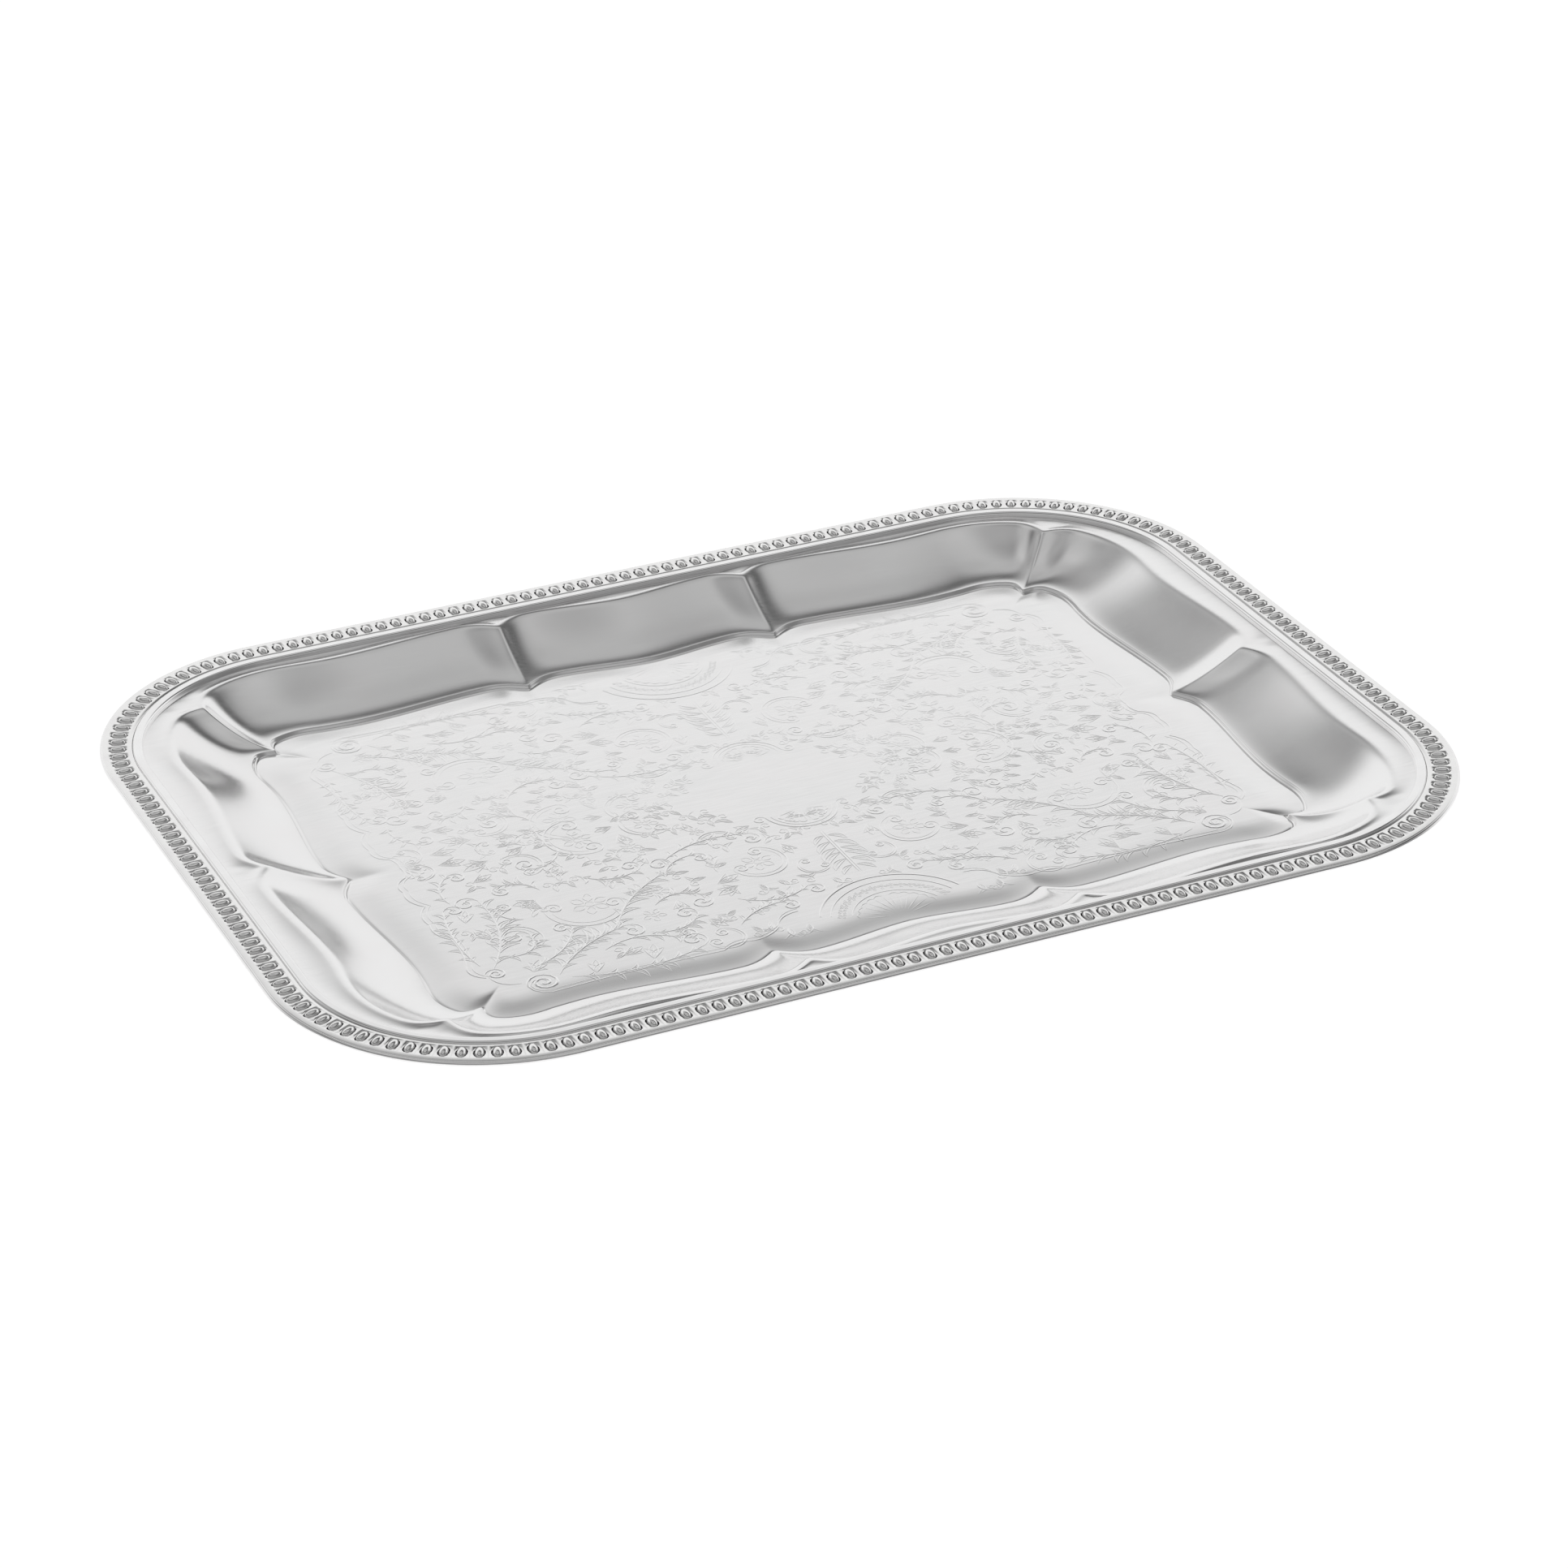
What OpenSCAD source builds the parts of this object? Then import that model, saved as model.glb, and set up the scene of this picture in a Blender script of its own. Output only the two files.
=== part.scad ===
/* [Tray] */
// Length over the edge wire
tray_l = 420; // [410:1:430]
// Width over the edge wire
tray_w = 310; // [302:1:318]
// Corner radius of the edge, seen from above
corner_r = 76; // [73:1:79]

/* [Pressed sheet] */
// Thickness of the sheet
sheet_t = 1; // [0.8:0.1:1.2]
// Depth of the well, from the flange down to the floor
well_depth = 12.5; // [10:0.5:15]
// Distance from the edge to the mouth of the well on the long sides
mouth_long = 17; // [17:0.5:19]
// Distance from the edge to the mouth of the well on the short sides
mouth_short = 22.5; // [20:0.5:25]
// Corner radius of the mouth
mouth_r = 62; // [58:1:66]
// Width of the sloping wall, seen from above
wall_run = 27.5; // [24:0.5:29]
// Height of the small step where the wall meets the floor
step_h = 1.2; // [0.8:0.1:1.6]

/* [Fluting] */
// Distance of the long sides' two ridges from the middle
ridge_x = 48; // [44:1:54]
// Angle of each corner ridge round its corner, from the short side
ridge_angle = 47; // [43:1:50]
// How far a ridge's tip reaches into the well
cusp_in = 4.5; // [3:0.5:6]
// How far the hollow middle of a lobe reaches into the well
waist_in = 3.8; // [2:0.2:5]
// Distance from a ridge to the hump beside it
hump_at = 15; // [12:1:18]

/* [Border] */
// Radius of the round wire that stiffens the edge
wire_r = 1.2; // [1:0.1:1.3]
// Width of the beaded strip, from the edge to its inner side
strip_w = 11.2; // [11:0.1:11.4]
// Radius of one bead's rounded end
bead_r = 1.9; // [1.7:0.1:2]
// Length of one bead, across the border
bead_l = 5.8; // [5.4:0.1:6]
// Beads along a long side
beads_long = 48; // [46:1:50]
// Beads along a short side
beads_short = 28; // [27:1:29]
// Beads round a corner
beads_corner = 20; // [19:1:21]
// Radius of the half-round reed inside the beads
reed_r = 1.9; // [1.6:0.1:1.9]

/* [Hidden] */
$fn = 96;

// Heights above the surface that the tray rests on
floor_z = sheet_t;
mouth_z = floor_z + well_depth;
seat_z = mouth_z + 0.1;
wire_z = seat_z - 0.2;
bed_z = seat_z + 0.7;
land_z = seat_z + 1.3;
reed_z = seat_z + 0.4;

// Distances in from the edge
sheet_in = 2 * wire_r;
flange_in = 15.2;
bead_in = 6.5;
trim = 0.2;
below = 0.7;

half_l = tray_l / 2;
half_w = tray_w / 2;
run_long = half_l - corner_r;
run_short = half_w - corner_r;

// The mouth of the well is a rounded rectangle, walked from the middle of the right side to the middle of the back
mouth_a = half_l - mouth_short;
mouth_b = half_w - mouth_long;
side_len = mouth_b - mouth_r;
arc_len = PI * mouth_r / 2;
end_len = mouth_a - mouth_r;
quarter_len = side_len + arc_len + end_len;
ridge_corner = side_len + arc_len * ridge_angle / 90;
ridge_back = quarter_len - ridge_x;

// Points along one lobe, closer together near its ridges
lobe_n = 14;
crowd = 0.08;
function spread(i) = i / lobe_n - crowd * sin(360 * i / lobe_n);
function lobe_walk(from, to, count) = [for (i = [0 : count - 1]) from + (to - from) * spread(i)];
quarter_walk = concat(
    lobe_walk(0, ridge_corner, lobe_n),
    lobe_walk(ridge_corner, ridge_back, lobe_n),
    lobe_walk(ridge_back, quarter_len + ridge_x, lobe_n / 2)
);
quarter_n = len(quarter_walk);
return_walk = [for (i = [quarter_n : -1 : 1]) i == quarter_n ? quarter_len : quarter_walk[i]];
full_walk = concat(
    [for (s = quarter_walk) [s, 1, 1]],
    [for (s = return_walk) [s, -1, 1]],
    [for (s = quarter_walk) [s, -1, -1]],
    [for (s = return_walk) [s, 1, -1]]
);
walk_n = len(full_walk);

// Share of the two straight halves passed, and the angle round the corner, at distance s
function place(s) =
    s < side_len ? [1, s / side_len, 0]
    : s < side_len + arc_len ? [1, 1, 90 * (s - side_len) / arc_len]
    : [1 - (s - side_len - arc_len) / end_len, 1, 90];

// A point on the rounded rectangle with half sizes a and b and corner radius r
function on_path(a, b, r, w) =
    let (p = place(w[0]))
    [w[1] * (p.x * (a - r) + r * cos(p.z)), w[2] * (p.y * (b - r) + r * sin(p.z))];

// How far the scalloped line reaches in at distance s
function ridge_gap(s) = min(s, abs(s - ridge_corner), abs(s - ridge_back));
function half_lobe(s) =
    s < ridge_corner ? ridge_corner / 2 : s < ridge_back ? (ridge_back - ridge_corner) / 2 : ridge_x;
function scallop(s) =
    let (t = ridge_gap(s))
    t < hump_at ? cusp_in * pow(1 - t / hump_at, 2)
    : waist_in * (1 - cos(180 * (t - hump_at) / (half_lobe(s) - hump_at))) / 2;

// A ring that follows the edge, and a ring that follows the scalloped mouth, d further in, at height z
function edge_ring(d, z) =
    [for (w = full_walk) concat(on_path(half_l - d, half_w - d, corner_r - d, w), z)];
function wall_ring(d, z) =
    [for (w = full_walk) let (k = d + scallop(w[0])) concat(on_path(mouth_a - k, mouth_b - k, mouth_r - k, w), z)];

// Height of the wall's hollow curve, t = 0 at the mouth and 1 at the foot
hollow = 1.7;
lip_drop = 0.3;
function wall_z(t) = floor_z + step_h + (well_depth - step_h - lip_drop) * pow(1 - t, hollow);

wall_steps = [0, 0.1, 0.24, 0.4, 0.58, 0.78, 1];
under_steps = [0.98, 0.7, 0.42, 0.2, 0];
under_in = 0.4;
step_run = 0.8;

sheet_rings = concat(
    [wall_ring(wall_run + step_run, floor_z)],
    [for (i = [len(wall_steps) - 1 : -1 : 0]) wall_ring(wall_steps[i] * wall_run, wall_z(wall_steps[i]))],
    [wall_ring(-1.1, seat_z - 0.05), edge_ring(flange_in, seat_z), edge_ring(sheet_in, seat_z)],
    [edge_ring(sheet_in, seat_z - sheet_t), edge_ring(flange_in, seat_z - sheet_t)],
    [for (i = [len(under_steps) - 1 : -1 : 0])
        wall_ring(under_steps[i] * wall_run - under_in, wall_z(under_steps[i]) - sheet_t)],
    [wall_ring(wall_run, -trim)]
);
ring_count = len(sheet_rings);

// The pressed sheet as one closed surface: rings joined by triangles, and a fan over each side of the floor
module pressed_sheet() {
    ring_points = [for (ring = sheet_rings) each ring];
    floor_centre = len(ring_points);
    points = concat(ring_points, [[0, 0, floor_z], [0, 0, -trim]]);
    faces = concat(
        [for (j = [0 : ring_count - 2]) for (i = [0 : walk_n - 1])
            let (k = (i + 1) % walk_n, a = j * walk_n, b = a + walk_n) each [[a + i, a + k, b + k], [a + i, b + k, b + i]]],
        [for (i = [0 : walk_n - 1]) [floor_centre, (i + 1) % walk_n, i]],
        [for (i = [0 : walk_n - 1])
            let (c = (ring_count - 1) * walk_n) [floor_centre + 1, c + i, c + (i + 1) % walk_n]]
    );
    polyhedron(points = points, faces = faces, convexity = 6);
}

// The sheet, trimmed flush underneath so that it rests on one flat face
module tray_body() {
    color("silver")
        difference() {
            pressed_sheet();
            translate([-half_l, -half_w, -4])
                cube([tray_l, tray_w, 4]);
        }
}

// Cross sections: x is the distance out from the edge, so it is negative, and y is the height
module wire_section() {
    translate([-wire_r, wire_z])
        circle(r = wire_r);
}

module reed_section() {
    difference() {
        translate([-strip_w - reed_r, reed_z])
            circle(r = reed_r);
        translate([-strip_w - 2 * reed_r - 1, seat_z - 4])
            square([2 * reed_r + 2, 4]);
    }
}

// The strip's section runs a little below its seat, and is trimmed with its beads
module strip_section() {
    groove = bead_l / 2 + 0.45;
    slope = 0.3;
    difference() {
        polygon([
            [-wire_r, wire_z], [-wire_r, land_z - 0.15], [-wire_r - 1, land_z],
            [-bead_in + groove, land_z], [-bead_in + groove - slope, bed_z],
            [-bead_in - groove + slope, bed_z], [-bead_in - groove, land_z],
            [-strip_w, land_z], [-strip_w, seat_z - below], [-sheet_in, seat_z - below]
        ]);
        wire_section();
    }
}

// One bead: a round-ended bar that lies across the border, with its lower half sunk in the strip
module bead() {
    bar = bead_l - 2 * bead_r;
    translate([-bead_in, 0, bed_z])
        rotate([0, 90, 0]) {
            cylinder(h = bar, r = bead_r, center = true);
            for (end = [-1, 1])
                translate([0, 0, end * bar / 2])
                    sphere(r = bead_r);
        }
}

// A closed ring with the given cross section, made of four straights and four quarter turns
module edge_loop() {
    for (turn = [0 : 3]) {
        reach = turn % 2 == 0 ? half_l : half_w;
        run = turn % 2 == 0 ? run_short : run_long;
        rotate([0, 0, 90 * turn]) {
            translate([reach, 0, 0])
                rotate([90, 0, 0])
                    linear_extrude(height = 2 * run, center = true)
                        children();
            translate([reach - corner_r, run, 0])
                rotate_extrude(angle = 90)
                    translate([corner_r, 0])
                        children();
        }
    }
}

module rim_wire() {
    color("gainsboro")
        edge_loop()
            wire_section();
}

module inner_reed() {
    color("gainsboro")
        edge_loop()
            reed_section();
}

// A straight length of beaded strip on the right side, or turned to another side
module straight_strip(reach, run, count, turn) {
    pitch = 2 * run / count;
    color("lightgray")
        rotate([0, 0, turn])
            translate([reach, 0, 0])
                difference() {
                    union() {
                        rotate([90, 0, 0])
                            linear_extrude(height = 2 * run, center = true)
                                strip_section();
                        for (i = [0 : count - 1])
                            translate([0, (i + 0.5) * pitch - run, 0])
                                bead();
                    }
                    translate([-corner_r, -run - 1, seat_z - 5])
                        cube([corner_r + 1, 2 * run + 2, 5]);
                }
}

// A quarter turn of beaded strip round the corner in the direction given by the two signs
module corner_strip(sign_x, sign_y, turn) {
    step = 90 / beads_corner;
    color("lightgray")
        translate([sign_x * run_long, sign_y * run_short, 0])
            rotate([0, 0, turn])
                difference() {
                    union() {
                        rotate_extrude(angle = 90)
                            translate([corner_r, 0])
                                strip_section();
                        for (i = [0 : beads_corner - 1])
                            rotate([0, 0, (i + 0.5) * step])
                                translate([corner_r, 0, 0])
                                    bead();
                    }
                    translate([0, 0, seat_z - 5])
                        cylinder(h = 5, r = corner_r + 20);
                }
}

module border_right() {
    straight_strip(half_l, run_short, beads_short, 0);
}

module border_back() {
    straight_strip(half_w, run_long, beads_long, 90);
}

module border_left() {
    straight_strip(half_l, run_short, beads_short, 180);
}

module border_front() {
    straight_strip(half_w, run_long, beads_long, 270);
}

module corner_back_right() {
    corner_strip(1, 1, 0);
}

module corner_back_left() {
    corner_strip(-1, 1, 90);
}

module corner_front_left() {
    corner_strip(-1, -1, 180);
}

module corner_front_right() {
    corner_strip(1, -1, 270);
}

tray_body();
rim_wire();
inner_reed();
border_front();
border_right();
border_back();
border_left();
corner_front_right();
corner_back_right();
corner_back_left();
corner_front_left();
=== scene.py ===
# %% [markdown]
# Silver salver, 420 by 310 mm: a pressed and plated sheet with a fluted wall, struck beaded
# border lengths round its edge, a half-round reed inside them, a stiffening wire outside them,
# and scrollwork in low relief on the floor. Lengths are in metres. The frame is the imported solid
# model, and every piece below takes its length and width from it.

# %% Load the frame
from math import atan2, cos, exp, pi, radians, sin, sqrt

import bmesh
import bpy
from mathutils import Matrix, Vector


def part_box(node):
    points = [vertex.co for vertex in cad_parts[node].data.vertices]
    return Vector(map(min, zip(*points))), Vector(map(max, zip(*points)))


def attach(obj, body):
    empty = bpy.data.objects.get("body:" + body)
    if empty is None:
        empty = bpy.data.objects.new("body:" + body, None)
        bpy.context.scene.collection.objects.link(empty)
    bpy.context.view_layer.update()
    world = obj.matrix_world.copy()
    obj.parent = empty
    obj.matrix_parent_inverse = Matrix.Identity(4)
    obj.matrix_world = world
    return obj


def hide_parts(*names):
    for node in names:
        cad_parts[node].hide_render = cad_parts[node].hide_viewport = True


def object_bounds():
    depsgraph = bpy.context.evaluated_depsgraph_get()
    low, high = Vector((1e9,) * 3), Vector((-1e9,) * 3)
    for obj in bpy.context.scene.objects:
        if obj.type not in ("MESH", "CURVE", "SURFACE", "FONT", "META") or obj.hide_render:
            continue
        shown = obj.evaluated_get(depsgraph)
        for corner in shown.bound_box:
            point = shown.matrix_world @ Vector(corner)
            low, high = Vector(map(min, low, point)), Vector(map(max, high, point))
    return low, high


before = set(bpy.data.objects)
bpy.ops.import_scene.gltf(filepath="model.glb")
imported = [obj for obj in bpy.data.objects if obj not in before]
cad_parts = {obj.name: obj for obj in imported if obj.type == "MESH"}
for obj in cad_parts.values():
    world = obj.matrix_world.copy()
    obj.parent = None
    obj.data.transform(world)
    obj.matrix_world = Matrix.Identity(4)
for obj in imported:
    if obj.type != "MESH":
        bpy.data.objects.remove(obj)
cad_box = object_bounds()
MM = 0.001
print("solid model:", [[round(v / MM, 1) for v in corner] for corner in cad_box])

# %% [markdown]
# The camera stands 1.6 m off, a little left of the front and 28 degrees up, with a long lens. It is
# made from those plain numbers: the direction back from the tray, the roll, and the distance.
# A long lens from far off keeps the two long sides nearly parallel, as a catalogue view has them.

# %% Camera
low, high = (Vector(corner) for corner in cad_box)
half_l = (high.x - low.x) / 2
half_w = (high.y - low.y) / 2
wire_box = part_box("rim_wire")
wire_z = (wire_box[0].z + wire_box[1].z) / 2

VIEW_TURN, VIEW_RISE, VIEW_ROLL = radians(-24.26), radians(27.86), radians(-0.89)
VIEW_DISTANCE = 1.6115
LOOK_AT = Vector((-6.4 * MM, -22.4 * MM, wire_z))
back = Vector((sin(VIEW_TURN) * cos(VIEW_RISE), -cos(VIEW_TURN) * cos(VIEW_RISE), sin(VIEW_RISE)))
right = Vector((cos(VIEW_TURN), sin(VIEW_TURN), 0))
up = back.cross(right)
cam_x = right * cos(VIEW_ROLL) + up * sin(VIEW_ROLL)
cam_y = back.cross(cam_x)
camera = bpy.data.objects.new("camera", bpy.data.cameras.new("camera"))
bpy.context.scene.collection.objects.link(camera)
camera.data.sensor_width = 36
camera.data.lens = 110.26
camera.data.clip_end = 20
place = Matrix((cam_x, cam_y, back)).transposed().to_4x4()
place.translation = LOOK_AT + back * VIEW_DISTANCE
camera.matrix_world = place
bpy.context.scene.camera = camera
print("camera at", [round(v, 3) for v in place.translation])

# %% [markdown]
# Every node tree here, for a shape or for a finish, is built with one small helper. It adds a node,
# sets it up, and feeds its inputs with numbers, with other nodes, or with one of their outputs.
# A second helper starts a shape tree and lists its named inputs, so each size keeps its own name.

# %% Node helpers
MATH = "ShaderNodeMath"
VECTOR = "ShaderNodeVectorMath"
COMBINE = "ShaderNodeCombineXYZ"
MAP_RANGE = "ShaderNodeMapRange"
SET_POSITION = "GeometryNodeSetPosition"
NUMBER, SMOOTH = {"data_type": "FLOAT"}, {"interpolation_type": "SMOOTHSTEP"}


def add(tree, kind, how=None, feeds=()):
    node = tree.nodes.new(kind)
    settings = {"operation": how} if isinstance(how, str) else how or {}
    for name, value in settings.items():
        setattr(node, name, value)
    for key, feed in feeds.items() if isinstance(feeds, dict) else enumerate(feeds):
        if isinstance(feed, bpy.types.Node):
            feed = feed.outputs[0]
        if isinstance(feed, bpy.types.NodeSocket):
            tree.links.new(feed, node.inputs[key])
        elif feed is not None:
            node.inputs[key].default_value = feed
    return node


def shape_tree(name, sizes):
    """A tree with a geometry input, one input for each named size, and its group nodes."""
    tree = bpy.data.node_groups.new(name, "GeometryNodeTree")
    face = tree.interface
    face.new_socket("Geometry", in_out="INPUT", socket_type="NodeSocketGeometry")
    for size, value in sizes.items():
        kind = "NodeSocketInt" if isinstance(value, int) else "NodeSocketFloat"
        face.new_socket(size, in_out="INPUT", socket_type=kind).default_value = value
    face.new_socket("Geometry", in_out="OUTPUT", socket_type="NodeSocketGeometry")
    return tree, tree.nodes.new("NodeGroupInput"), tree.nodes.new("NodeGroupOutput")


def close_tree(tree, geometry, finish, end):
    """The tree's end: nothing is left an instance, and the piece has its finish."""
    solid = add(tree, "GeometryNodeRealizeInstances", None, [geometry])
    painted = add(tree, "GeometryNodeSetMaterial", None, [solid])
    painted.inputs["Material"].default_value = finish
    tree.links.new(painted.outputs[0], end.inputs[0])


def shaped(name, base, tree, sizes):
    """The base mesh taken through a tree, as a plain mesh object at the origin."""
    start = bpy.data.objects.new(name + "_start", base)
    bpy.context.scene.collection.objects.link(start)
    modifier = start.modifiers.new("shape", "NODES")
    modifier.node_group = tree
    for item in tree.interface.items_tree:
        if item.in_out == "INPUT" and item.name in sizes:
            modifier[item.identifier] = sizes[item.name]
    view = bpy.context.evaluated_depsgraph_get()
    mesh = bpy.data.meshes.new_from_object(start.evaluated_get(view), depsgraph=view)
    bpy.data.objects.remove(start)
    return shown(name, mesh)


def shown(name, mesh):
    mesh.name = name
    piece = bpy.data.objects.new(name, mesh)
    bpy.context.scene.collection.objects.link(piece)
    return piece


# %% [markdown]
# The whole piece is silver plate. Plate is a thin skin of pure silver, which reflects about 95 % of
# the light, nearly the same in every colour, so it is almost white. The sheet was
# rolled, pressed and buffed: it keeps a satin bloom and hair-fine wiping marks. The border and the
# wires were struck in bright dies and are glossier. The marks are drawn coarser than life, or they
# would not show. The gaps between the beads look dark, so one more helper gives the metal a darker
# colour below a height, in the hollows of the beading.

# %% Silver finishes
def linear(hex_colour):
    channels = [int(hex_colour[i:i + 2], 16) / 255 for i in (1, 3, 5)]
    return [c / 12.92 if c < 0.04045 else ((c + 0.055) / 1.055) ** 2.4 for c in channels] + [1]


def silver_finish(name, colours, roughness, wave_mm, mark_mm, lift):
    """Silver with a cloudy bloom, wiping marks of a given spacing, and a lift in bump height."""
    material = bpy.data.materials.new(name)
    material.use_nodes = True
    tree = material.node_tree
    tree.nodes.clear()
    shader = add(tree, "ShaderNodeBsdfPrincipled", None, {"Metallic": 1.0})
    where = add(tree, "ShaderNodeTexCoord").outputs["Object"]
    bloom = add(tree, "ShaderNodeTexNoise", None,
                {"Vector": where, "Scale": 1 / (wave_mm * MM), "Detail": 3.0, "Roughness": 0.55})
    tint = add(tree, "ShaderNodeValToRGB", None, [bloom.outputs["Fac"]])
    for element, colour in zip(tint.color_ramp.elements, colours):
        element.color = linear(colour)
    tint.color_ramp.elements[0].position = 0.3
    tint.color_ramp.elements[1].position = 0.7
    tree.links.new(tint.outputs[0], shader.inputs["Base Color"])
    stretched = add(tree, "ShaderNodeMapping", None, {"Vector": where, "Rotation": (0, 0, 0.35)})
    stretched.inputs["Scale"].default_value = (0.06, 1.0, 1.0)
    marks = add(tree, "ShaderNodeTexNoise", None,
                {"Vector": stretched, "Scale": 1 / (mark_mm * MM), "Detail": 2.0})
    both = add(tree, MATH, "ADD", [bloom.outputs["Fac"], marks.outputs["Fac"]])
    gloss = add(tree, MAP_RANGE, None, {"Value": both, "From Min": 0.6, "From Max": 1.4,
                 "To Min": roughness[0], "To Max": roughness[1]})
    tree.links.new(gloss.outputs[0], shader.inputs["Roughness"])
    bump = add(tree, "ShaderNodeBump", None,
               {"Strength": 1.0, "Distance": lift * MM, "Height": marks.outputs["Fac"]})
    tree.links.new(bump.outputs[0], shader.inputs["Normal"])
    add(tree, "ShaderNodeOutputMaterial", None, [shader])
    return material


satin_silver = silver_finish("satin_silver_plate", ("#F1F0F0", "#F5F5F5"), (0.12, 0.22), 30, 0.6, 0.0004)
bright_silver = silver_finish("bright_silver_wire", ("#F0EFEF", "#F6F6F6"), (0.05, 0.1), 12, 0.5, 0.0003)
struck_silver = silver_finish("struck_silver_beading", ("#EEEDED", "#F5F5F4"), (0.07, 0.14), 8, 0.5, 0.0003)


def darken_hollows(material, low_mm, high_mm, colour):
    """Blends the metal's colour into a darker one below a height."""
    tree = material.node_tree
    shader = next(node for node in tree.nodes if node.type == "BSDF_PRINCIPLED")
    undarkened_colour = shader.inputs["Base Color"].links[0].from_socket
    where = add(tree, "ShaderNodeTexCoord").outputs["Object"]
    height = add(tree, "ShaderNodeSeparateXYZ", None, [where]).outputs["Z"]
    darkening_fade = add(tree, MAP_RANGE, SMOOTH,
                  {"Value": height, "From Min": low_mm * MM, "From Max": high_mm * MM})
    mix = add(tree, "ShaderNodeMixRGB", None, {"Fac": darkening_fade.outputs[0], "Color1": linear(colour)})
    tree.links.new(undarkened_colour, mix.inputs["Color2"])
    tree.links.new(mix.outputs[0], shader.inputs["Base Color"])


# the beading's colour turns darker below 14.85 mm, down into the hollows between the beads
darken_hollows(struck_silver, 14.05, 14.85, "#68676B")
print("finishes:", [m.name for m in (satin_silver, bright_silver, struck_silver)])

# %% [markdown]
# The well is a rounded rectangle whose line is scalloped: ten lobes that meet at ten ridges. One
# die can press the sheet and all its flutes in a stroke, so one rule makes them all. The line is
# walked from the middle of the right side round to the middle of the back, and mirrored to the
# other three quarters. Steps are shorter near the ridges, where the sheet turns quickest.

# %% Walk round the scalloped line
mouth_a, mouth_b, mouth_r = half_l - 22.5 * MM, half_w - 17 * MM, 62 * MM
corner_r = 76 * MM
side_len = mouth_b - mouth_r
arc_len = pi * mouth_r / 2
end_len = mouth_a - mouth_r
quarter_len = side_len + arc_len + end_len
CORNER_RIDGE_TURN, BACK_RIDGE = 47, 48 * MM  # degrees round the corner, and from the middle
ridge_corner = side_len + arc_len * CORNER_RIDGE_TURN / 90
ridge_back = quarter_len - BACK_RIDGE
RIDGES = (0, ridge_corner, ridge_back, quarter_len + BACK_RIDGE)
LOBE_STEPS, CROWD = 44, 0.13


def stand(s):
    """Shares of the two straight halves passed, and the angle round the corner, at distance s."""
    if s < side_len:
        return 1, s / side_len, 0
    if s < side_len + arc_len:
        return 1, 1, (s - side_len) / arc_len * pi / 2
    return 1 - (s - side_len - arc_len) / end_len, 1, pi / 2


def on_path(a, b, r, s, sx, sy):
    across, along, turn = stand(s)
    return Vector((sx * (across * (a - r) + r * cos(turn)), sy * (along * (b - r) + r * sin(turn)), 0))


quarter_walk = []
for first, last in zip(RIDGES, RIDGES[1:]):
    steps = LOBE_STEPS // 2 if last > quarter_len else LOBE_STEPS
    for i in range(steps):
        t = i / LOBE_STEPS
        quarter_walk.append(first + (last - first) * (t - CROWD * sin(2 * pi * t)))
return_walk = [quarter_len] + quarter_walk[:0:-1]
full_walk = [(s, 1, 1) for s in quarter_walk] + [(s, -1, 1) for s in return_walk]
full_walk += [(s, -1, -1) for s in quarter_walk] + [(s, 1, -1) for s in return_walk]
print("points round the line:", len(full_walk), "quarter length", round(quarter_len / MM, 1), "mm")

# %% [markdown]
# The tree starts from a flat net: rings of points, every ring a copy of that line. Each point knows
# which way is outward, how far the nearest ridge is, and which ring it is on: how far in from the
# mouth, and what share it takes of the plain edge line outside or of the middle of the floor.

# %% Net of rings
WALL_RUN, STEP_RUN, LIP, FLANGE_IN = 27.5, 0.75, 1.5, 15.2
SPINE_SHARE, CORNER_REACH = 0.36, 52 * MM  # the middle line's length, and how far a corner counts
flange = [(1, edge_in, -LIP, 0) for edge_in in (1.7, 2.8, 7, 11, 14.7, FLANGE_IN)]
flange += [(share, FLANGE_IN, -LIP, 0) for share in (0.94, 0.85, 0.72, 0.56, 0.4, 0.25, 0.12)]
inward_steps = [-1.5, -1.15, -0.8, -0.45, -0.1, 0.25, 0.6, 1, 1.5, 2.2, 3.2, 4.5, 6, 8, 10, 12, 14, 16, 18]
inward_steps += [20, 22, 23.5, 24.8, 25.8, 26.5, 27, 27.3]
inward_steps += [27.5, 27.62, 27.75, 27.88, 28.0, 28.12, 28.25, 28.4]
inward_steps += [28.55, 28.7, 28.85, 29.0, 29.2, 29.5, 30.2, 31.5, 33.2, 35.2, 37.5, 40, 43, 46]
rings = flange + [(0, FLANGE_IN, inward, 0) for inward in inward_steps]
rings += [(0, FLANGE_IN, inward_steps[-1], toward) for toward in (0.12, 0.3, 0.5, 0.7, 0.88, 1)]


VECTOR_FACTS = ("outward", "edge_point", "spine")
NUMBER_FACTS = ("gap", "half_lobe", "corner", "share", "edge_in", "inward", "toward")


def near_ridge(s):
    gap = min(abs(s - ridge) for ridge in RIDGES)
    lobe = next(i for i in range(3) if s <= RIDGES[i + 1])
    return gap, (RIDGES[lobe + 1] - RIDGES[lobe]) / 2


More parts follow.
